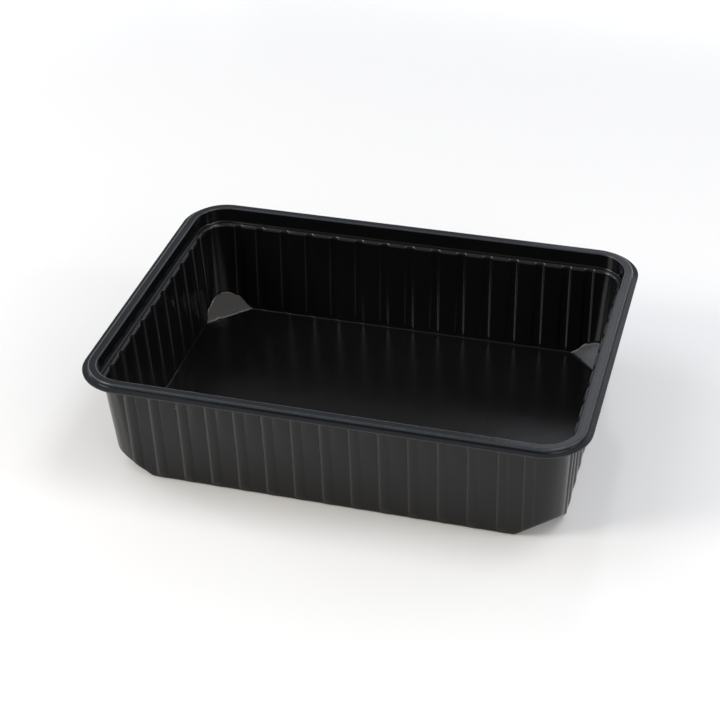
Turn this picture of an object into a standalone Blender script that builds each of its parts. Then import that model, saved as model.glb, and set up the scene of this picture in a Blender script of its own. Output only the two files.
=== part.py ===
"""A thermoformed plastic food tray: an open tub with a sealing rim, fluted walls and cut bottom corners.

The tray is one sheet of plastic drawn into a mould. It is modelled as one skin, its inner and upper face,
which is then given the thickness of the sheet. One quarter of the skin is lofted, and mirrored twice.
Metres, +Z up. The origin is at the middle of the underside, X along the length and Y along the width.
"""

import math

import bmesh
import bpy
from mathutils import Vector

MM = 0.001

# Overall sizes, to the edge of the lip that runs round the rim.
LENGTH = 187 * MM
WIDTH = 137 * MM
HEIGHT = 46 * MM
SHEET = 0.5 * MM
CORNER_RADIUS = 17.5 * MM

# The rim from outside to inside: a trimmed lip, a short skirt, a flat seal face, then a smooth upright band.
LIP_WIDTH = 2.1 * MM
LIP_DROP = 1.45 * MM
LIP_SLOPE = math.radians(7)
GROOVE_RADIUS = 0.3 * MM
SKIRT_LEAN = math.radians(12)
SHOULDER_RADIUS = 0.6 * MM
RIM_WIDTH = 5.4 * MM
BAND_DEPTH = 6.4 * MM
BAND_DRAFT = math.radians(3)

# Below the band a ledge steps in to the fluted walls, which lean in towards the floor.
LEDGE_WIDTH = 2.25 * MM
LEDGE_FILLET = 0.7 * MM
LEDGE_ROUND = 0.5 * MM
END_DRAFT = math.radians(2.4)
SIDE_DRAFT = math.radians(3.3)
WALL_CORNER_TOP = 8.5 * MM
WALL_CORNER_FOOT = 10.5 * MM
FLOOR_FILLET = 0.6 * MM

# The flutes: half-round ribs that stand out of the walls, open to the inside. The one at a corner is closer.
FLUTE_PITCH = 10.7 * MM
LAST_PITCH = 9.2 * MM
FLUTE_WIDTH = 3.8 * MM
FLUTE_DEPTH_TOP = 0.75 * MM
FLUTE_DEPTH_FOOT = 0.5 * MM
FLUTES_ALONG_LENGTH = 15
FLUTES_ALONG_WIDTH = 10
FLUTE_STEPS = 4
CORNER_CLEAR = 0.3 * MM

# A flat facet cuts each bottom corner.
FACET_LEG = 15.8 * MM
FACET_RISE = math.radians(46)

CORNER_STEPS = 8
ROUND_STEPS = 3
WELD = 0.01 * MM
SHARP_EDGE = math.radians(35)


def arc(centre, radius, start, end, steps=ROUND_STEPS):
    """Points (inset, height) on an arc of the rim's section, from one angle to another in degrees."""
    angles = [math.radians(start + (end - start) * i / steps) for i in range(steps + 1)]
    return [(centre[0] + radius * math.cos(a), centre[1] + radius * math.sin(a)) for a in angles]


def rim_section():
    """Lip, skirt, seal face and band as (inset from the lip's edge, height), outside to inside."""
    lip_top = HEIGHT - LIP_DROP
    lip_edge = lip_top - LIP_WIDTH * math.tan(LIP_SLOPE)
    shoulder = LIP_WIDTH + (LIP_DROP - SHOULDER_RADIUS) * math.tan(SKIRT_LEAN) + SHOULDER_RADIUS
    ledge = HEIGHT - BAND_DEPTH
    band_foot = RIM_WIDTH + (BAND_DEPTH - SHOULDER_RADIUS - LEDGE_FILLET) * math.tan(BAND_DRAFT)
    points = [(0.0, lip_edge)]
    points += arc((LIP_WIDTH - GROOVE_RADIUS, lip_top + GROOVE_RADIUS), GROOVE_RADIUS, -90, 0, 1)
    points += arc((shoulder, HEIGHT - SHOULDER_RADIUS), SHOULDER_RADIUS, 180, 90)
    points += arc((RIM_WIDTH - SHOULDER_RADIUS, HEIGHT - SHOULDER_RADIUS), SHOULDER_RADIUS, 90, 0)
    points += arc((band_foot + LEDGE_FILLET, ledge + LEDGE_FILLET), LEDGE_FILLET, 180, 270, 2)
    return points


def flute_line(flutes, depth):
    """(distance along, distance out) over half the flutes of a wall, starting at its middle."""
    first = 0.0 if flutes % 2 else FLUTE_PITCH / 2
    count = (flutes + 1) // 2
    centres = [first + FLUTE_PITCH * i for i in range(count - 1)]
    centres.append(centres[-1] + LAST_PITCH)
    points = [(0.0, 0.0)] if first > 0.0 else []
    for centre in centres:
        for step in range(FLUTE_STEPS + 1):
            across = step / FLUTE_STEPS - 0.5
            along = centre + FLUTE_WIDTH * across
            if along >= 0.0:
                points.append((along, depth * (1 - (2 * across) ** 2)))
    return points


def turned(along, out, run, side, radius):
    """(place along the wall, distance from its middle line, angle turned) of a point that may be on the corner."""
    angle = max(0.0, along - run) / radius
    reach = radius + out
    return min(along, run) + reach * math.sin(angle), side - radius + reach * math.cos(angle), angle


def quarter_ring(half_length, half_width, radius, height, flute_depth=None):
    """Points of one level of the quarter x, y >= 0, from one straight wall's middle to the other's.

    With a flute_depth, even 0, the walls have the flutes' points. The corner's points start where it turns, or
    just past the last flute.
    """
    centre_x = half_length - radius
    centre_y = half_width - radius
    short = long = [(0.0, 0.0)]
    if flute_depth is not None:
        short = flute_line(FLUTES_ALONG_WIDTH, flute_depth)
        long = flute_line(FLUTES_ALONG_LENGTH, flute_depth)
    short = short + [(max(centre_y, short[-1][0] + CORNER_CLEAR), 0.0)]
    long = long + [(max(centre_x, long[-1][0] + CORNER_CLEAR), 0.0)]
    short = [turned(along, out, centre_y, half_length, radius) for along, out in short]
    long = [turned(along, out, centre_x, half_width, radius) for along, out in long]
    start = short[-1][2]
    end = math.radians(90) - long[-1][2]
    ring = [(x, y) for y, x, _ in short]
    for step in range(1, CORNER_STEPS):
        angle = start + (end - start) * step / CORNER_STEPS
        ring.append((centre_x + radius * math.cos(angle), centre_y + radius * math.sin(angle)))
    ring += [(x, y) for x, y, _ in reversed(long)]
    return [Vector((x, y, height)) for x, y in ring]


def wall_ring(height, inset, radius, flute_depth):
    """A level of the fluted wall: its top edge, taken in by the draft and by a further inset."""
    top = HEIGHT - BAND_DEPTH
    top_inset = rim_section()[-1][0] - LEDGE_FILLET + LEDGE_WIDTH + inset
    half_x = LENGTH / 2 - top_inset - (top - height) * math.tan(END_DRAFT)
    half_y = WIDTH / 2 - top_inset - (top - height) * math.tan(SIDE_DRAFT)
    return quarter_ring(half_x, half_y, radius, height, flute_depth)


def wall_rings():
    """The fluted wall's levels from the ledge's edge down to the floor's edge."""
    top = HEIGHT - BAND_DEPTH
    foot = SHEET + FLOOR_FILLET
    turn = FLOOR_FILLET * (1 - math.sqrt(0.5))
    return [
        wall_ring(top, -LEDGE_ROUND, WALL_CORNER_TOP + LEDGE_ROUND, FLUTE_DEPTH_TOP),
        wall_ring(top - LEDGE_ROUND, 0.0, WALL_CORNER_TOP, FLUTE_DEPTH_TOP),
        wall_ring(foot, 0.0, WALL_CORNER_FOOT, FLUTE_DEPTH_FOOT),
        wall_ring(SHEET + turn, turn, WALL_CORNER_FOOT - turn, FLUTE_DEPTH_FOOT / 2),
        wall_ring(SHEET, FLOOR_FILLET, WALL_CORNER_FOOT - FLOOR_FILLET, 0.0),
    ]


def loft(bm, rings):
    """Joins rings of the same count with quads and returns each ring's vertices."""
    verts = [[bm.verts.new(point) for point in ring] for ring in rings]
    for outer, inner in zip(verts, verts[1:]):
        for i in range(len(outer) - 1):
            bm.faces.new((outer[i], outer[i + 1], inner[i + 1], inner[i]))
    return verts


def add_ledge(bm, band_foot, wall_top):
    """Joins the smooth ring to the fluted ring: a strip along each wall and the corner between them."""
    corner = len(flute_line(FLUTES_ALONG_WIDTH, 0.0))
    bm.faces.new([band_foot[0], band_foot[1], *reversed(wall_top[: corner + 1])])
    for i in range(CORNER_STEPS):
        inner = wall_top[corner + i], wall_top[corner + i + 1]
        bm.faces.new([band_foot[i + 1], band_foot[i + 2], inner[1], inner[0]])
    bm.faces.new([band_foot[-2], band_foot[-1], *reversed(wall_top[corner + CORNER_STEPS :])])


def cut_facet(bm):
    """Cuts the bottom corner off along the facet's plane and closes the cut with one flat face."""
    floor = wall_rings()[-1]
    on_floor = Vector((floor[0].x + FLOOR_FILLET - FACET_LEG, floor[-1].y + FLOOR_FILLET, SHEET))
    outward = Vector((math.sin(FACET_RISE), math.sin(FACET_RISE), 0)) * math.sqrt(0.5)
    normal = outward - Vector((0, 0, math.cos(FACET_RISE)))
    everything = bm.verts[:] + bm.edges[:] + bm.faces[:]
    cut = bmesh.ops.bisect_plane(
        bm, geom=everything, dist=WELD, plane_co=on_floor, plane_no=normal, clear_outer=True
    )
    edges = [item for item in cut["geom_cut"] if isinstance(item, bmesh.types.BMEdge)]
    bmesh.ops.contextual_create(bm, geom=edges)


def quarter_skin():
    """The inner and upper face of the quarter x, y >= 0, facing into the tray and up."""
    bm = bmesh.new()
    rim = []
    for inset, height in rim_section():
        rim.append(quarter_ring(LENGTH / 2 - inset, WIDTH / 2 - inset, CORNER_RADIUS - inset, height))
    rim_verts = loft(bm, rim)
    wall_verts = loft(bm, wall_rings())
    add_ledge(bm, rim_verts[-1], wall_verts[0])
    middle = bm.verts.new((0, 0, SHEET))
    bm.faces.new([*wall_verts[-1], middle])
    cut_facet(bm)
    bmesh.ops.recalc_face_normals(bm, faces=bm.faces)
    floor = min(bm.faces, key=lambda face: face.calc_center_median().z)
    if floor.normal.z < 0:
        bmesh.ops.reverse_faces(bm, faces=bm.faces)
    mesh = bpy.data.meshes.new("tray")
    bm.to_mesh(mesh)
    bm.free()
    return mesh


def black_polypropylene():
    material = bpy.data.materials.new("black_polypropylene")
    material.use_nodes = True
    shader = material.node_tree.nodes["Principled BSDF"]
    shader.inputs["Base Color"].default_value = (0.006, 0.006, 0.007, 1)
    shader.inputs["Roughness"].default_value = 0.28
    shader.inputs["Metallic"].default_value = 0.0
    return material


def build_tray(collection):
    tray = bpy.data.objects.new("tray", quarter_skin())
    collection.objects.link(tray)
    mirror = tray.modifiers.new("four quarters", "MIRROR")
    mirror.use_axis = (True, True, False)
    mirror.merge_threshold = WELD
    wall = tray.modifiers.new("sheet", "SOLIDIFY")
    wall.thickness = SHEET
    wall.offset = -1
    wall.use_even_offset = True
    tray.data.materials.append(black_polypropylene())
    tray.data.shade_smooth()
    tray.data.set_sharp_from_angle(angle=SHARP_EDGE)


def main():
    for old in list(bpy.data.objects):
        bpy.data.objects.remove(old, do_unlink=True)
    collection = bpy.data.collections.new("food_tray")
    bpy.context.scene.collection.children.link(collection)
    build_tray(collection)


main()
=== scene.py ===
"""A black thermoformed food tray, empty, standing on a pale studio floor.

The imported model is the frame. plastic_tray stands in for its one node: the same sheet with rounded folds,
steep-sided flutes pressed out of its walls and soft edges round the corner facets.
"""

import math

import bmesh
import bpy
from mathutils import Matrix, Vector


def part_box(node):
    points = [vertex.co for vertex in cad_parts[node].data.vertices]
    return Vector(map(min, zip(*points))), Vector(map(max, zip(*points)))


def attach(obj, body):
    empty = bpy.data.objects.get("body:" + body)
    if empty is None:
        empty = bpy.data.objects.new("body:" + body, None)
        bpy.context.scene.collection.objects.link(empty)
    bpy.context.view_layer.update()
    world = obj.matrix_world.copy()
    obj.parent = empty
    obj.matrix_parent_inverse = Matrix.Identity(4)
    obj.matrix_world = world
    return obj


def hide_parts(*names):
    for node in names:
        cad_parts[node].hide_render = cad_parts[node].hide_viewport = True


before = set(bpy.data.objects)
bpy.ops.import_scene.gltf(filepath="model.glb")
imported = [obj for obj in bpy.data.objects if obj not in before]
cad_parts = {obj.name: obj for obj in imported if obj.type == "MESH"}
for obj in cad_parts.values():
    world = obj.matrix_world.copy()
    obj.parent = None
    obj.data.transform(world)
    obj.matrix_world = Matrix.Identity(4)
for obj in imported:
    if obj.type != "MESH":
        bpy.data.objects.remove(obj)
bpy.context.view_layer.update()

MM = 0.001

# The tray's outer sizes come from the frame. The rest are its solid's sizes, but for tenths of a millimetre:
# the flutes are wider and fade at the foot, the skirt leans less, and the ledge's inner edge is rounder.
low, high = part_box("tray")
HALF_LENGTH = high.x
HALF_WIDTH = high.y
HEIGHT = high.z
SHEET = 0.5 * MM
CORNER_RADIUS = 17.5 * MM

# The rim, from outside to inside.
LIP_WIDTH = 2.1 * MM
LIP_DROP = 1.45 * MM
LIP_SLOPE = math.radians(7)
LIP_EDGE_ROUND = 0.1 * MM
GROOVE_RADIUS = 0.3 * MM
SKIRT_LEAN = math.radians(5)
SHOULDER_RADIUS = 0.6 * MM
RIM_WIDTH = 5.4 * MM
BAND_DEPTH = 6.4 * MM
BAND_DRAFT = math.radians(3)

# The ledge and the fluted walls below it.
LEDGE_WIDTH = 2.25 * MM
LEDGE_FILLET = 0.7 * MM
LEDGE_ROUND = 1.1 * MM
END_DRAFT = math.radians(2.4)
SIDE_DRAFT = math.radians(3.3)
WALL_CORNER_TOP = 8.5 * MM
WALL_CORNER_FOOT = 10.5 * MM
FLOOR_FILLET = 0.6 * MM

FLUTE_PITCH = 10.7 * MM
LAST_PITCH = 9.2 * MM
FLUTE_WIDTH = 4.1 * MM
FLUTE_DEPTH_LEDGE = 0.75 * MM
FLUTE_DEPTH_FOOT = 0.5 * MM
FLUTES_ALONG_LENGTH = 15
FLUTES_ALONG_WIDTH = 10
CORNER_CLEAR = 0.3 * MM
FLUTE_FADE = 2 * MM
FOOT_SHARE = 0.35

FACET_LEG = 15.8 * MM
FACET_RISE = math.radians(46)
FACET_SOFTNESS = 0.6 * MM

# How far the folds of the sheet are rubbed, from 0 to 1 on the rim's shoulders. The same amount also paints a
# paler, cooler colour on these folds: a painted sheen standing in for the soft highlights along the rim, the
# lip and the ledge.
SHOULDER_RUB_AND_SHEEN = 1.0
LIP_RUB_AND_SHEEN = 0.35
SEAL_RUB_AND_SHEEN = 0.35
LEDGE_RUB_AND_SHEEN = 0.3

# How finely the sheet is divided, and how its edges are softened.
HALF_FLUTE_STATIONS = (0.25, 0.5, 0.7, 0.84, 0.93, 1.01, 1.09)
FLUTE_STATIONS = [-t for t in reversed(HALF_FLUTE_STATIONS)] + [0.0, *HALF_FLUTE_STATIONS]
CORNER_STEPS = 20
PANEL_STEPS = 2
PANEL_STEPS_NEAR_CORNER = 6
GROOVE_STEPS = 4
SHOULDER_STEPS = 7
LEDGE_FILLET_STEPS = 6
ROUND_STEPS = 5
WALL_ROWS = (30 * MM, 22 * MM, 15 * MM)
FLOOR_ROWS = (16 * MM, 26 * MM, 40 * MM, 52 * MM)
FLOOR_COLUMNS_REACH = 14 * MM
LEAST_CORNER = 2 * MM
FACET_ROW = 0.6 * MM
FACET_TOP = 10.5 * MM
FACET_REACH = 11 * MM
SUPPORT = 0.06 * MM
LONG_RUN = 8 * SUPPORT
FLUTE_SOFTNESS = 0.3
EDGE_ROUND_ABOVE = math.radians(60)
SMOOTH_BELOW = math.radians(40)
SMALLEST_GAP = 0.0001 * MM
LEVEL_ERROR = 0.01 * MM


# The kinds of node that are used most.
MATHS = "ShaderNodeMath"
VECTORS = "ShaderNodeVectorMath"
ATTRIBUTE = "GeometryNodeInputNamedAttribute"


def rgb(code):
    """Linear red, green and blue from an sRGB hex colour such as "#1a1a1c"."""
    shares = [int(code[i : i + 2], 16) / 255 for i in (1, 3, 5)]
    return [s / 12.92 if s <= 0.04045 else ((s + 0.055) / 1.055) ** 2.4 for s in shares]


def add(tree, kind, sockets=None, **settings):
    """Adds a node to a tree, sets its settings, and links or sets the sockets given by name or by place."""
    made = tree.nodes.new(kind)
    for name, value in settings.items():
        setattr(made, name, value)
    for key, value in (sockets or {}).items():
        if isinstance(value, bpy.types.NodeSocket):
            tree.links.new(value, made.inputs[key])
        else:
            made.inputs[key].default_value = value
    return made


# ---------------------------------------------------------------- the sheet's section and its columns


def fold(centre, radius, start, end, steps):
    """Points (inset, height) on a fold of the section, from one angle to another in degrees."""
    angles = [math.radians(start + (end - start) * i / steps) for i in range(steps + 1)]
    return [(centre[0] + radius * math.cos(a), centre[1] + radius * math.sin(a)) for a in angles]


def with_supports(points):
    """The section with a point put close to each end of its long straight runs, so that these shade flat."""
    result = [points[0]]
    for before, after in zip(points, points[1:]):
        run = math.dist(before, after)
        if run > LONG_RUN:
            share = SUPPORT / run
            for t in (share, 1 - share):
                result.append(tuple(a + (b - a) * t for a, b in zip(before, after)))
        result.append(after)
    return result


def rim_section():
    """Lip, groove, skirt, seal face, band and the ledge's start as (inset from the lip's edge, height)."""
    lip_top = HEIGHT - LIP_DROP
    lip_edge = lip_top - LIP_WIDTH * math.tan(LIP_SLOPE)
    shoulder = LIP_WIDTH + (LIP_DROP - SHOULDER_RADIUS) * math.tan(SKIRT_LEAN) + SHOULDER_RADIUS
    ledge = HEIGHT - BAND_DEPTH
    band_foot = RIM_WIDTH + (BAND_DEPTH - SHOULDER_RADIUS - LEDGE_FILLET) * math.tan(BAND_DRAFT)
    points = [(0.0, lip_edge)]
    groove_centre = (LIP_WIDTH - GROOVE_RADIUS, lip_top + GROOVE_RADIUS)
    points += fold(groove_centre, GROOVE_RADIUS, -90, -10, GROOVE_STEPS)
    round_height = HEIGHT - SHOULDER_RADIUS
    inner_shoulder = RIM_WIDTH - SHOULDER_RADIUS
    points += fold((shoulder, round_height), SHOULDER_RADIUS, 170, 90, SHOULDER_STEPS)
    points += fold((inner_shoulder, round_height), SHOULDER_RADIUS, 90, 3, SHOULDER_STEPS)
    fillet_centre = (band_foot + LEDGE_FILLET, ledge + LEDGE_FILLET)
    points += fold(fillet_centre, LEDGE_FILLET, 183, 270, LEDGE_FILLET_STEPS)
    return with_supports(points)


def side_stations(flutes):
    """Distances along half a wall, from its middle: every flute's stations and those between flutes.

    The last flute is closer to its neighbour than the rest, and stands where the corner starts to turn.
    """
    first = 0.0 if flutes % 2 else FLUTE_PITCH / 2
    centres = [first + FLUTE_PITCH * i for i in range((flutes + 1) // 2 - 1)]
    centres.append(centres[-1] + LAST_PITCH)
    stations = [] if flutes % 2 else [0.0]
    for i, centre in enumerate(centres):
        reached = [centre + FLUTE_WIDTH / 2 * t for t in FLUTE_STATIONS]
        if i > 0:
            near_corner = i >= len(centres) - 2
            panels = PANEL_STEPS_NEAR_CORNER if near_corner else PANEL_STEPS
            gap = reached[0] - stations[-1]
            start = stations[-1]
            stations += [start + gap * step / panels for step in range(1, panels)]
        stations += [along for along in reached if along >= 0.0]
    return stations


# A column of the sheet runs from the lip to the floor. Those of a quarter are named by the side that they are
# on, from the short wall's middle round the corner to the long wall's. With the side goes the distance along
# the wall, or the share of the corner's turn.
ALONG_WIDTH = side_stations(FLUTES_ALONG_WIDTH)
ALONG_LENGTH = side_stations(FLUTES_ALONG_LENGTH)
QUARTER = [("width", along) for along in ALONG_WIDTH]
QUARTER += [("corner", step / CORNER_STEPS) for step in range(CORNER_STEPS + 1)]
QUARTER += [("length", along) for along in reversed(ALONG_LENGTH)]


def on_wall(along, side, run, radius):
    """(along the wall, from the middle, outward direction) of a place on a wall or on its corner's turn."""
    angle = max(0.0, along - run) / radius
    turned = (math.sin(angle), math.cos(angle))
    return (min(along, run) + radius * turned[0], side - radius + radius * turned[1]), turned


def quarter_ring(half_x, half_y, radius, height, floor_inset=0.0):
    """One level of the quarter x, y >= 0 as (point, outward direction) for each column.

    The columns keep their distances from the walls' middles, but on the floor they close up to the middle.
    The corner's own columns start where it turns, or just past the last flute.
    """
    run_x = half_x - radius
    run_y = half_y - radius
    closing_x = half_x / (half_x + floor_inset)
    closing_y = half_y / (half_y + floor_inset)
    start = max(0.0, ALONG_WIDTH[-1] * closing_y + CORNER_CLEAR - run_y) / radius
    end = math.radians(90) - max(0.0, ALONG_LENGTH[-1] * closing_x + CORNER_CLEAR - run_x) / radius
    ring = []
    for side, place in QUARTER:
        if side == "width":
            (y, x), (out_y, out_x) = on_wall(place * closing_y, half_x, run_y, radius)
            ring.append((Vector((x, y, height)), Vector((out_x, out_y, 0))))
        elif side == "length":
            (x, y), (out_x, out_y) = on_wall(place * closing_x, half_y, run_x, radius)
            ring.append((Vector((x, y, height)), Vector((out_x, out_y, 0))))
        else:
            angle = start + (end - start) * place
            turned = Vector((math.cos(angle), math.sin(angle), 0))
            ring.append((Vector((run_x, run_y, height)) + turned * radius, Vector()))
    return ring


def whole_ring(*size):
    """The quarter's level copied round the other three quarters, anticlockwise: (point, outward, column)."""
    quarter = [(point, outward, column) for (point, outward), column in zip(quarter_ring(*size), QUARTER)]
    ring = []
    for sx, sy, backwards in ((1, 1, False), (-1, 1, True), (-1, -1, False), (1, -1, True)):
        flip = Vector((sx, sy, 1))
        turned = [(point * flip, outward * flip, column) for point, outward, column in quarter]
        if backwards:
            turned.reverse()
        ring += turned[:-1]
    return ring


def column_choice(near_corner):
    """Places in a whole ring of the columns in and near the corners, and of one between each two flutes."""
    last = len(QUARTER) - 1
    ends = {"width": ALONG_WIDTH[-1], "length": ALONG_LENGTH[-1]}
    firsts = {"width": FLUTE_PITCH / 2, "length": 0.0}
    chosen = []
    for quadrant in range(4):
        for i in range(last):
            side, place = QUARTER[i if quadrant % 2 == 0 else last - i]
            if side == "corner" or place > ends[side] - near_corner:
                chosen.append(quadrant * last + i)
                continue
            pitches = (place - firsts[side]) / FLUTE_PITCH
            if abs(abs(pitches - round(pitches)) - 0.5) < 0.01:
                chosen.append(quadrant * last + i)
    return chosen


# ---------------------------------------------------------------- the plain sheet, before it is pressed


def wall_level(height, inset, radius):
    """(half length, half width, corner radius, height) of the wall, with its draft and a further inset."""
    top = HEIGHT - BAND_DEPTH
    top_inset = rim_section()[-1][0] - LEDGE_FILLET + LEDGE_WIDTH + inset
    half_x = HALF_LENGTH - top_inset - (top - height) * math.tan(END_DRAFT)
    half_y = HALF_WIDTH - top_inset - (top - height) * math.tan(SIDE_DRAFT)
    return (half_x, half_y, radius, height)


def corner_radius_at(height):
    share = (height - SHEET) / (HEIGHT - BAND_DEPTH - SHEET)
    return WALL_CORNER_FOOT + (WALL_CORNER_TOP - WALL_CORNER_FOOT) * share


def rim_rub_and_sheen(inset, height):
    """How much rubbing and painted sheen the rim carries: most on its shoulders, then on the lip, and least
    on the seal face.
    """
    if inset < LIP_WIDTH - GROOVE_RADIUS:
        return LIP_RUB_AND_SHEEN
    if height > HEIGHT - LEVEL_ERROR:
        return SEAL_RUB_AND_SHEEN
    return SHOULDER_RUB_AND_SHEEN if height > HEIGHT - SHOULDER_RADIUS else 0.0


def sheet_levels():
    """Every level of the sheet from the lip inwards: (size, columns, share of the flutes' depth, rubbing and
    painted sheen).
    """
    rim_columns = column_choice(0.0)
    wall_columns = column_choice(HALF_LENGTH)
    floor_columns = column_choice(FLOOR_COLUMNS_REACH)
    top = HEIGHT - BAND_DEPTH
    foot = SHEET + FLOOR_FILLET
    levels = []
    for inset, height in rim_section():
        size = (HALF_LENGTH - inset, HALF_WIDTH - inset, CORNER_RADIUS - inset, height)
        levels.append((size, rim_columns, 0.0, rim_rub_and_sheen(inset, height)))
    half_x, half_y, radius, _ = levels[-1][0]
    levels.append(((half_x - SUPPORT, half_y - SUPPORT, radius - SUPPORT, top), rim_columns, 0.0, 0.0))

    size = wall_level(top, -LEDGE_ROUND - SUPPORT, WALL_CORNER_TOP + LEDGE_ROUND + SUPPORT)
    levels.append((size, wall_columns, 0.0, 0.0))
    for step in range(ROUND_STEPS + 1):
        angle = math.radians(90 * step / ROUND_STEPS)
        height = top - LEDGE_ROUND * (1 - math.cos(angle))
        inset = -LEDGE_ROUND * (1 - math.sin(angle))
        size = wall_level(height, inset, corner_radius_at(height) - inset)
        # The ledge's round carries some painted sheen as well as rubbing.
        levels.append((size, wall_columns, math.sin(angle), LEDGE_RUB_AND_SHEEN))
    heights = [top - LEDGE_ROUND - SUPPORT, *WALL_ROWS]
    rows = round((FACET_TOP - foot) / FACET_ROW)
    heights += [FACET_TOP + (foot - FACET_TOP) * i / rows for i in range(rows + 1)]
    for height in heights:
        share = min(1.0, FOOT_SHARE + (1 - FOOT_SHARE) * (height - foot) / FLUTE_FADE)
        levels.append((wall_level(height, 0.0, corner_radius_at(height)), wall_columns, share, 0.0))
    for step in range(1, ROUND_STEPS + 1):
        angle = math.radians(90 * step / ROUND_STEPS)
        height = foot - FLOOR_FILLET * math.sin(angle)
        inset = FLOOR_FILLET * (1 - math.cos(angle))
        size = wall_level(height, inset, corner_radius_at(height) - inset)
        levels.append((size, wall_columns, FOOT_SHARE * math.cos(angle), 0.0))

    insets = [FLOOR_FILLET + SUPPORT]
    while insets[-1] < FACET_REACH:
        insets.append(insets[-1] + FACET_ROW)
    for inset in [*insets, *FLOOR_ROWS]:
        corner = max(WALL_CORNER_FOOT - inset, LEAST_CORNER)
        half_x, half_y, radius, height = wall_level(SHEET, inset, corner)
        levels.append(((half_x, half_y, radius, height, inset), floor_columns, 0.0, 0.0))
    return levels


def plain_sheet():
    """The sheet's upper face with smooth walls. Each point holds what the press must know of its place."""
    bm = bmesh.new()
    outward_layer = bm.verts.layers.float_vector.new("outward")
    share_layer = bm.verts.layers.float.new("press share")
    # How far each fold is rubbed, which also sets the painted sheen on it.
    rub_and_sheen_layer = bm.verts.layers.float.new("fold rub and sheen")
    along_layer = bm.verts.layers.float.new("along")
    long_wall_layer = bm.verts.layers.float.new("long wall")
    rings = []
    for size, columns, share, rub_and_sheen in sheet_levels():
        whole = whole_ring(*size)
        ring = {}
        for column in columns:
            point, outward, (side, place) = whole[column]
            vert = bm.verts.new(point)
            vert[outward_layer] = outward
            vert[share_layer] = share
            vert[rub_and_sheen_layer] = rub_and_sheen
            vert[along_layer] = place
            vert[long_wall_layer] = side == "length"
            ring[column] = vert
        rings.append(ring)
    for outer, inner in zip(rings, rings[1:]):
        join_rings(bm, outer, inner)
    bm.faces.new(list(rings[-1].values()))
    bmesh.ops.recalc_face_normals(bm, faces=bm.faces)
    middle = min(bm.faces, key=lambda face: face.calc_center_median().length)
    if middle.normal.z < 0:
        bmesh.ops.reverse_faces(bm, faces=bm.faces)
    bm.normal_update()
    upper_layer = bm.verts.layers.float_vector.new("upper normal")
    for vert in bm.verts:
        vert[upper_layer] = vert.normal
    mesh = bpy.data.meshes.new("plastic_tray")
    bm.to_mesh(mesh)
    bm.free()
    return mesh


def join_rings(bm, outer, inner):
    """Joins two levels at the columns both have. Further columns of either are further corners of a face."""
    shared = sorted(set(outer) & set(inner))
    outer_order, inner_order = sorted(outer), sorted(inner)
    for start, end in zip(shared, shared[1:] + shared[:1]):
        face = [outer[c] for c in columns_between(outer_order, start, end)]
        face += [inner[c] for c in reversed(columns_between(inner_order, start, end))]
        bm.faces.new(face)


def columns_between(order, start, end):
    """The columns from start to end, both included, going on past the last column to the first."""
    if start < end:
        return [c for c in order if start <= c <= end]
    return [c for c in order if c >= start] + [c for c in order if c <= end]


# ---------------------------------------------------------------- the press, as Geometry Nodes


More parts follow.
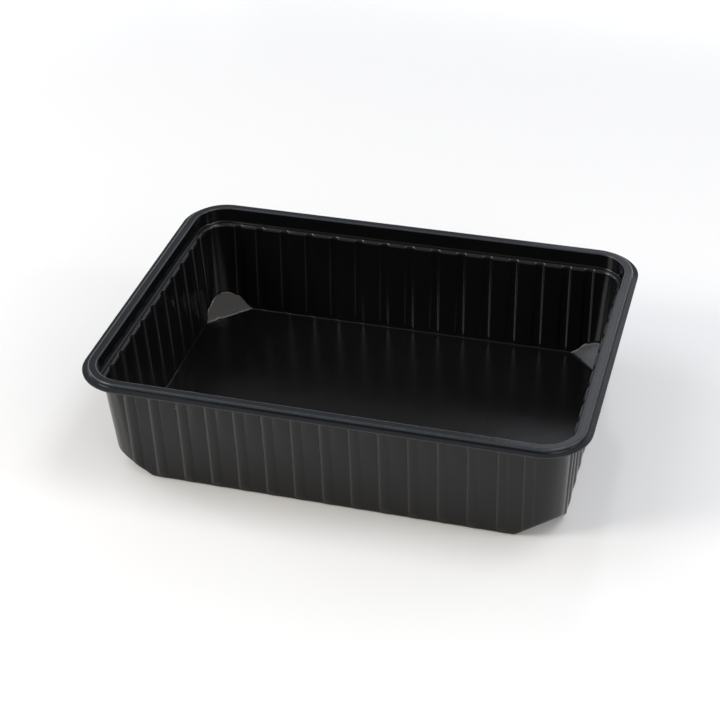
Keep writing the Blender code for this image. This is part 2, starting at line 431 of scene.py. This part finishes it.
def press_tree():
    """Geometry Nodes that press the flutes out of the straight walls and flatten the bottom corners."""
    tree = bpy.data.node_groups.new("press flutes and facets", "GeometryNodeTree")
    tree.interface.new_socket("Geometry", in_out="INPUT", socket_type="NodeSocketGeometry")
    sizes = {
        "Flute Pitch": FLUTE_PITCH,
        "Last Pitch": LAST_PITCH,
        "Flute Width": FLUTE_WIDTH,
        "Depth at Ledge": FLUTE_DEPTH_LEDGE,
        "Depth at Foot": FLUTE_DEPTH_FOOT,
        "Ledge Height": HEIGHT - BAND_DEPTH,
        "Foot Height": SHEET + FLOOR_FILLET,
        "Facet Rise": FACET_RISE,
        "Facet Softness": FACET_SOFTNESS,
    }
    for name in sizes:
        tree.interface.new_socket(name, in_out="INPUT", socket_type="NodeSocketFloat")
    tree.interface.new_socket("Facet Start", in_out="INPUT", socket_type="NodeSocketVector")
    tree.interface.new_socket("Flutes along Length", in_out="INPUT", socket_type="NodeSocketInt")
    tree.interface.new_socket("Flutes along Width", in_out="INPUT", socket_type="NodeSocketInt")
    tree.interface.new_socket("Plastic", in_out="INPUT", socket_type="NodeSocketMaterial")
    tree.interface.new_socket("Geometry", in_out="OUTPUT", socket_type="NodeSocketGeometry")
    given = add(tree, "NodeGroupInput").outputs

    outward_name = {"Name": "outward"}
    outward = add(tree, ATTRIBUTE, outward_name, data_type="FLOAT_VECTOR").outputs[0]
    share = add(tree, ATTRIBUTE, {"Name": "press share"}, data_type="FLOAT").outputs[0]
    along = add(tree, ATTRIBUTE, {"Name": "along"}, data_type="FLOAT").outputs[0]
    long_wall = add(tree, ATTRIBUTE, {"Name": "long wall"}, data_type="FLOAT").outputs[0]
    position = add(tree, "GeometryNodeInputPosition").outputs[0]
    height = add(tree, "ShaderNodeSeparateXYZ", {0: position}).outputs[2]
    counts = {"Factor": long_wall, "A": given["Flutes along Width"], "B": given["Flutes along Length"]}
    count = add(tree, "ShaderNodeMix", counts).outputs[0]

    # Distance to the nearest flute's middle line, in half flute widths. An even count has no flute at the
    # middle, and the last flute is nearer to the one before it.
    one_more = add(tree, MATHS, {0: count, 1: 1.0}, operation="ADD").outputs[0]
    is_even = add(tree, MATHS, {0: one_more, 1: 2.0}, operation="MODULO").outputs[0]
    half_step = add(tree, MATHS, {0: is_even, 1: 0.5}, operation="MULTIPLY").outputs[0]
    pitches = add(tree, MATHS, {0: along, 1: given["Flute Pitch"]}, operation="DIVIDE").outputs[0]
    steps = add(tree, MATHS, {0: pitches, 1: half_step}, operation="SUBTRACT").outputs[0]
    gaps = add(tree, MATHS, {0: count, 1: 1.0}, operation="SUBTRACT").outputs[0]
    half_gaps = add(tree, MATHS, {0: gaps, 1: 0.5}, operation="MULTIPLY").outputs[0]
    last = add(tree, MATHS, {0: half_gaps, 1: half_step}, operation="SUBTRACT").outputs[0]
    rounded = add(tree, MATHS, {0: steps}, operation="ROUND").outputs[0]
    nearest = add(tree, MATHS, {0: rounded, 1: last}, operation="MINIMUM").outputs[0]
    is_last = add(tree, MATHS, {0: nearest, 1: last, 2: 0.1}, operation="COMPARE").outputs[0]
    pitch_gap = {0: given["Flute Pitch"], 1: given["Last Pitch"]}
    short_by = add(tree, MATHS, pitch_gap, operation="SUBTRACT").outputs[0]
    closer = add(tree, MATHS, {0: short_by, 1: is_last}, operation="MULTIPLY").outputs[0]
    past = add(tree, MATHS, {0: steps, 1: nearest}, operation="SUBTRACT").outputs[0]
    from_middle = add(tree, MATHS, {0: past, 1: given["Flute Pitch"]}, operation="MULTIPLY").outputs[0]
    moved = add(tree, MATHS, {0: from_middle, 1: closer}, operation="ADD").outputs[0]
    off = add(tree, MATHS, {0: moved}, operation="ABSOLUTE").outputs[0]
    twice = add(tree, MATHS, {0: off, 1: 2.0}, operation="MULTIPLY").outputs[0]
    across = add(tree, MATHS, {0: twice, 1: given["Flute Width"]}, operation="DIVIDE").outputs[0]

    # A round crown with steep flanks, 1 - across cubed, and a small soft foot where it meets the wall.
    cubed = add(tree, MATHS, {0: across, 1: 3.0}, operation="POWER").outputs[0]
    bow = add(tree, MATHS, {0: 1.0, 1: cubed}, operation="SUBTRACT").outputs[0]
    soft = {0: bow, 1: 0.0, 2: FLUTE_SOFTNESS}
    section = add(tree, MATHS, soft, operation="SMOOTH_MAX").outputs[0]
    depths = {
        "Value": height,
        "From Min": given["Foot Height"],
        "From Max": given["Ledge Height"],
        "To Min": given["Depth at Foot"],
        "To Max": given["Depth at Ledge"],
    }
    depth = add(tree, "ShaderNodeMapRange", depths).outputs[0]
    full = add(tree, MATHS, {0: section, 1: depth}, operation="MULTIPLY").outputs[0]
    push = add(tree, MATHS, {0: full, 1: share}, operation="MULTIPLY").outputs[0]
    offset = add(tree, VECTORS, {0: outward, "Scale": push}, operation="SCALE").outputs[0]
    pressed = add(tree, "GeometryNodeSetPosition", {"Geometry": given["Geometry"], "Offset": offset})

    # The facet: what lies beyond its plane is pushed back along the plane's normal, softly at the edges.
    position = add(tree, "GeometryNodeInputPosition").outputs[0]
    rise = given["Facet Rise"]
    sine = add(tree, MATHS, {0: rise}, operation="SINE").outputs[0]
    lean = add(tree, MATHS, {0: sine, 1: math.sqrt(0.5)}, operation="MULTIPLY").outputs[0]
    cosine = add(tree, MATHS, {0: rise}, operation="COSINE").outputs[0]
    down = add(tree, MATHS, {0: cosine, 1: -1.0}, operation="MULTIPLY").outputs[0]
    normal = add(tree, "ShaderNodeCombineXYZ", {0: lean, 1: lean, 2: down}).outputs[0]
    first_corner = add(tree, VECTORS, {0: position}, operation="ABSOLUTE").outputs[0]
    from_start = {0: first_corner, 1: given["Facet Start"]}
    reach = add(tree, VECTORS, from_start, operation="SUBTRACT").outputs[0]
    beyond = add(tree, VECTORS, {0: reach, 1: normal}, operation="DOT_PRODUCT").outputs["Value"]
    softly = {0: beyond, 1: 0.0, 2: given["Facet Softness"]}
    back = add(tree, MATHS, softly, operation="SMOOTH_MAX").outputs[0]
    inward = add(tree, MATHS, {0: back, 1: -1.0}, operation="MULTIPLY").outputs[0]
    sign = add(tree, VECTORS, {0: position}, operation="SIGN").outputs[0]
    direction = add(tree, VECTORS, {0: normal, 1: sign}, operation="MULTIPLY").outputs[0]
    offset = add(tree, VECTORS, {0: direction, "Scale": inward}, operation="SCALE").outputs[0]
    placed = {"Geometry": pressed.outputs[0], "Offset": offset}
    flattened = add(tree, "GeometryNodeSetPosition", placed)

    realized = add(tree, "GeometryNodeRealizeInstances", {"Geometry": flattened.outputs[0]})
    sheet = {"Geometry": realized.outputs[0], "Material": given["Plastic"]}
    painted = add(tree, "GeometryNodeSetMaterial", sheet)
    add(tree, "NodeGroupOutput", {"Geometry": painted.outputs[0]})
    return tree, sizes


def set_inputs(modifier, values):
    """Sets a Geometry Nodes modifier's inputs by their sockets' identifiers."""
    for item in modifier.node_group.interface.items_tree:
        if item.item_type == "SOCKET" and item.in_out == "INPUT" and item.name in values:
            modifier[item.identifier] = values[item.name]


def build_tray(plastic):
    tray = bpy.data.objects.new("plastic_tray", plain_sheet())
    bpy.context.scene.collection.objects.link(tray)
    tree, sizes = press_tree()
    press = tray.modifiers.new("press", "NODES")
    press.node_group = tree
    floor_edge = wall_level(SHEET, 0.0, 0.0)
    start = (floor_edge[0] - FACET_LEG, floor_edge[1], SHEET)
    set_inputs(
        press,
        {
            **sizes,
            "Facet Start": start,
            "Flutes along Length": FLUTES_ALONG_LENGTH,
            "Flutes along Width": FLUTES_ALONG_WIDTH,
            "Plastic": plastic,
        },
    )
    wall = tray.modifiers.new("sheet", "SOLIDIFY")
    wall.thickness = SHEET
    wall.offset = -1
    edge = tray.modifiers.new("trimmed edge", "BEVEL")
    edge.width = LIP_EDGE_ROUND
    edge.segments = 2
    edge.limit_method = "ANGLE"
    edge.angle_limit = EDGE_ROUND_ABOVE
    plain_mesh(tray)
    mark_mould_side(tray.data)
    return tray


def plain_mesh(made):
    """The object as its modifiers leave it, as one plain mesh that shades smoothly but for sharp edges."""
    graph = bpy.context.evaluated_depsgraph_get()
    mesh = bpy.data.meshes.new_from_object(made.evaluated_get(graph))
    made.modifiers.clear()
    made.data = mesh
    bm = bmesh.new()
    bm.from_mesh(mesh)
    bmesh.ops.remove_doubles(bm, verts=bm.verts, dist=SMALLEST_GAP)
    bm.to_mesh(mesh)
    bm.free()
    mesh.shade_smooth()
    mesh.set_sharp_from_angle(angle=SMOOTH_BELOW)


def mark_mould_side(mesh):
    """Stores 1 on each point of the sheet's underside, which met the mould, and 0 on every other point."""
    side = mesh.attributes.new("mould side", "FLOAT", "POINT")
    upper = mesh.attributes["upper normal"]
    for vert in mesh.vertices:
        faces_down = vert.normal.dot(upper.data[vert.index].vector) < 0.0
        side.data[vert.index].value = 1.0 if faces_down else 0.0


# ---------------------------------------------------------------- finish


def black_polypropylene():
    """Polypropylene sheet dyed black and drawn into a blasted mould: a deep black with a soft, even sheen.

    The side that met the mould is satin, and the side that the air pushed on is glossier. The eye gets long
    soft reflections that wander a little, streaks down the walls where the sheet was stretched, and duller
    folds along the rim, where trays rub in the stack. These folds are also painted a paler, cooler colour:
    a painted sheen standing in for the rim's soft highlights.
    """
    material = bpy.data.materials.new("black_polypropylene_thermoformed")
    material.use_nodes = True
    tree = material.node_tree
    shader = tree.nodes["Principled BSDF"]
    shader.inputs["IOR"].default_value = 1.49
    shader.inputs["Specular IOR Level"].default_value = 0.36
    place = add(tree, "ShaderNodeTexCoord").outputs["Object"]
    in_mm = add(tree, VECTORS, {0: place, "Scale": 1 / MM}, operation="SCALE").outputs[0]
    rub_and_sheen_amount = add(tree, "ShaderNodeAttribute", attribute_name="fold rub and sheen").outputs["Fac"]
    mould_side = add(tree, "ShaderNodeAttribute", attribute_name="mould side").outputs["Fac"]

    # Thick and thin places of the sheet, 22 mm across, and specks of 1.6 mm, drawn coarser than real to show.
    wide = {"Vector": in_mm, "Scale": 1 / 22, "Detail": 3.0}
    patches = add(tree, "ShaderNodeTexNoise", wide).outputs["Fac"]
    small = {"Vector": in_mm, "Scale": 1 / 1.6, "Detail": 4.0}
    specks = add(tree, "ShaderNodeTexNoise", small).outputs["Fac"]
    # Streaks 1.5 mm apart and 30 mm long, down the walls.
    drawn = add(tree, VECTORS, {0: in_mm, 1: (1.0, 1.0, 0.05)}, operation="MULTIPLY").outputs[0]
    long = {"Vector": drawn, "Scale": 1 / 1.5, "Detail": 2.0}
    streaks = add(tree, "ShaderNodeTexNoise", long).outputs["Fac"]

    # Rubbed folds are painted a shade paler and cooler, a little unevenly: a painted sheen standing in for
    # the rim's highlights, on top of the duller roughness of the rubbing.
    rub_and_sheen_range = {"Value": specks, "From Min": 0.3, "From Max": 0.7, "To Min": 0.75}
    uneven_rub_and_sheen = add(tree, "ShaderNodeMapRange", rub_and_sheen_range).outputs[0]
    rubbed_and_sheen = add(tree, MATHS, {0: uneven_rub_and_sheen, 1: rub_and_sheen_amount}, operation="MULTIPLY").outputs[0]
    shades = {0: patches, 6: (*rgb("#0a0a0b"), 1), 7: (*rgb("#101011"), 1)}
    black = add(tree, "ShaderNodeMix", shades, data_type="RGBA").outputs[2]
    # The paler, cooler colour on the folds is painted sheen, standing in for the rim's highlights.
    shades = {0: rubbed_and_sheen, 6: black, 7: (*rgb("#363b40"), 1)}
    colour = add(tree, "ShaderNodeMix", shades, data_type="RGBA").outputs[2]
    tree.links.new(colour, shader.inputs["Base Color"])

    # Roughness 0.11 on the drawn walls, 0.22 on the floor, which was hardly stretched, and 0.25 on the mould
    # side. It is uneven by a few hundredths, and duller where rubbed.
    level = add(tree, "ShaderNodeSeparateXYZ", {0: in_mm}).outputs[2]
    stretch = {"Value": level, "From Min": 1.0, "From Max": 4.0, "To Min": 0.22, "To Max": 0.11}
    gloss = add(tree, "ShaderNodeMapRange", stretch).outputs[0]
    side = add(tree, "ShaderNodeMix", {"Factor": mould_side, "A": gloss, "B": 0.25}).outputs[0]
    uneven = add(tree, "ShaderNodeMapRange", {"Value": patches, "To Min": -0.03, "To Max": 0.03}).outputs[0]
    speckled = add(tree, "ShaderNodeMapRange", {"Value": specks, "To Min": -0.02, "To Max": 0.02}).outputs[0]
    dulled = add(tree, MATHS, {0: rubbed_and_sheen, 1: 0.12}, operation="MULTIPLY").outputs[0]
    roughness = side
    for share in (uneven, speckled, dulled):
        roughness = add(tree, MATHS, {0: roughness, 1: share}, operation="ADD").outputs[0]
    tree.links.new(roughness, shader.inputs["Roughness"])

    # Bumps in real depths: the sheet's slow waviness, the streaks and the mould's fine peel.
    waves = add(tree, "ShaderNodeTexNoise", {"Vector": in_mm, "Scale": 1 / 14, "Detail": 1.0}).outputs["Fac"]
    peel = add(tree, "ShaderNodeTexNoise", {"Vector": in_mm, "Scale": 1 / 0.9, "Detail": 2.0}).outputs["Fac"]
    wavy = add(tree, "ShaderNodeBump", {"Height": waves, "Distance": 0.1 * MM}).outputs[0]
    lines = {"Height": streaks, "Distance": 0.012 * MM, "Normal": wavy}
    streaked = add(tree, "ShaderNodeBump", lines).outputs[0]
    pores = {"Height": peel, "Distance": 0.01 * MM, "Normal": streaked}
    peeled = add(tree, "ShaderNodeBump", pores).outputs[0]
    tree.links.new(peeled, shader.inputs["Normal"])
    return material


FLOOR_HALF = 3.0


def pale_floor():
    """Glossy white acrylic sheet under the tray: its soft gloss shows the lamps to the tray's flutes."""
    material = bpy.data.materials.new("glossy_white_acrylic")
    material.use_nodes = True
    shader = material.node_tree.nodes["Principled BSDF"]
    shader.inputs["Base Color"].default_value = (*rgb("#f2f2f1"), 1)
    shader.inputs["Roughness"].default_value = 0.18
    mesh = bpy.data.meshes.new("studio_floor")
    half = FLOOR_HALF
    corners = [(-half, -half, 0), (half, -half, 0), (half, half, 0), (-half, half, 0)]
    mesh.from_pydata(corners, [], [(0, 1, 2, 3)])
    floor = bpy.data.objects.new("studio_floor", mesh)
    mesh.materials.append(material)
    bpy.context.scene.collection.objects.link(floor)


# ---------------------------------------------------------------- studio

CAMERA_AZIMUTH = math.radians(16.6)
CAMERA_ELEVATION = math.radians(34.83)
CAMERA_ROLL = math.radians(-1.54)
CAMERA_DISTANCE = 664.2 * MM
CAMERA_TARGET = Vector((-3.79, -1.28, 25.0)) * MM
CAMERA_LENS = 86.85
CAMERA_SENSOR = 36.0


def place_camera():
    back = Vector(
        (
            math.sin(CAMERA_AZIMUTH) * math.cos(CAMERA_ELEVATION),
            -math.cos(CAMERA_AZIMUTH) * math.cos(CAMERA_ELEVATION),
            math.sin(CAMERA_ELEVATION),
        )
    )
    level = Vector((math.cos(CAMERA_AZIMUTH), math.sin(CAMERA_AZIMUTH), 0))
    turn = Matrix.Rotation(CAMERA_ROLL, 3, back)
    right = turn @ level
    upright = turn @ back.cross(level)
    data = bpy.data.cameras.new("studio_camera")
    data.lens = CAMERA_LENS
    data.sensor_width = CAMERA_SENSOR
    camera = bpy.data.objects.new("studio_camera", data)
    bpy.context.scene.collection.objects.link(camera)
    axes = Matrix((right, upright, back)).transposed().to_4x4()
    camera.matrix_world = Matrix.Translation(CAMERA_TARGET + back * CAMERA_DISTANCE) @ axes
    bpy.context.scene.camera = camera


WARM = "#fff9f0"
COOL = "#f4f7ff"
# The four levels a softbox can be set to, as radiance: each is about half the one before.
KEY = 12.0
TOP = 5.0
FILL = 2.5
FAINT = 1.2
# Softboxes round the tray: azimuth from +X and elevation in degrees, width and height in metres, level, tint.
SOFTBOXES = {
    "key_left_front": (212, 32, 0.4, 0.5, KEY, WARM),
    "left": (180, 28, 0.6, 0.4, FILL, COOL),
    "left_high": (180, 58, 0.6, 0.5, FILL, COOL),
    "left_back": (157, 22, 0.5, 0.5, FAINT, COOL),
    "spark_left": (165, 24, 0.15, 0.15, KEY, COOL),
    "key_right": (0, 30, 0.2, 0.2, KEY, COOL),
    "right_low": (0, 18, 0.6, 0.4, FILL, COOL),
    "right_high": (-12, 47, 0.6, 0.4, FAINT, WARM),
    "right_top": (0, 68, 0.6, 0.4, TOP, COOL),
    "right_back": (42, 25, 0.7, 0.5, FAINT, COOL),
    "right_front": (-40, 25, 0.7, 0.5, FILL, WARM),
    "back_low": (85, 8, 1.3, 0.3, FILL, COOL),
    "back_left_low": (130, 8, 0.75, 0.3, FAINT, COOL),
    "back_high": (88, 38, 0.3, 0.3, FAINT, COOL),
    "front_low": (300, 12, 0.8, 0.3, FAINT, WARM),
}
SOFTBOX_DISTANCE = 1.2
ROOM_LIGHT = 0.25


def light_studio():
    """Softboxes on a ring round the tray in an evenly lit white room. They face the tray's middle."""
    for name, (azimuth, elevation, width, height, radiance, tint) in SOFTBOXES.items():
        data = bpy.data.lights.new(name, "AREA")
        data.shape = "RECTANGLE"
        data.size = width
        data.size_y = height
        data.energy = radiance * math.pi * width * height
        data.color = rgb(tint)
        softbox = bpy.data.objects.new(name, data)
        bpy.context.scene.collection.objects.link(softbox)
        around = math.radians(azimuth)
        up = math.radians(elevation)
        towards = Vector((math.cos(around) * math.cos(up), math.sin(around) * math.cos(up), math.sin(up)))
        softbox.location = Vector((0, 0, HEIGHT / 2)) + towards * SOFTBOX_DISTANCE
        softbox.rotation_euler = towards.to_track_quat("Z", "Y").to_euler()
    world = bpy.data.worlds.new("white_room")
    bpy.context.scene.world = world
    world.use_nodes = True
    background = world.node_tree.nodes["Background"]
    background.inputs["Color"].default_value = (*rgb("#ffffff"), 1)
    background.inputs["Strength"].default_value = ROOM_LIGHT
    bpy.context.scene.view_settings.view_transform = "Standard"


plastic = black_polypropylene()
tray = build_tray(plastic)
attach(tray, "root")
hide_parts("tray")
pale_floor()
place_camera()
light_studio()
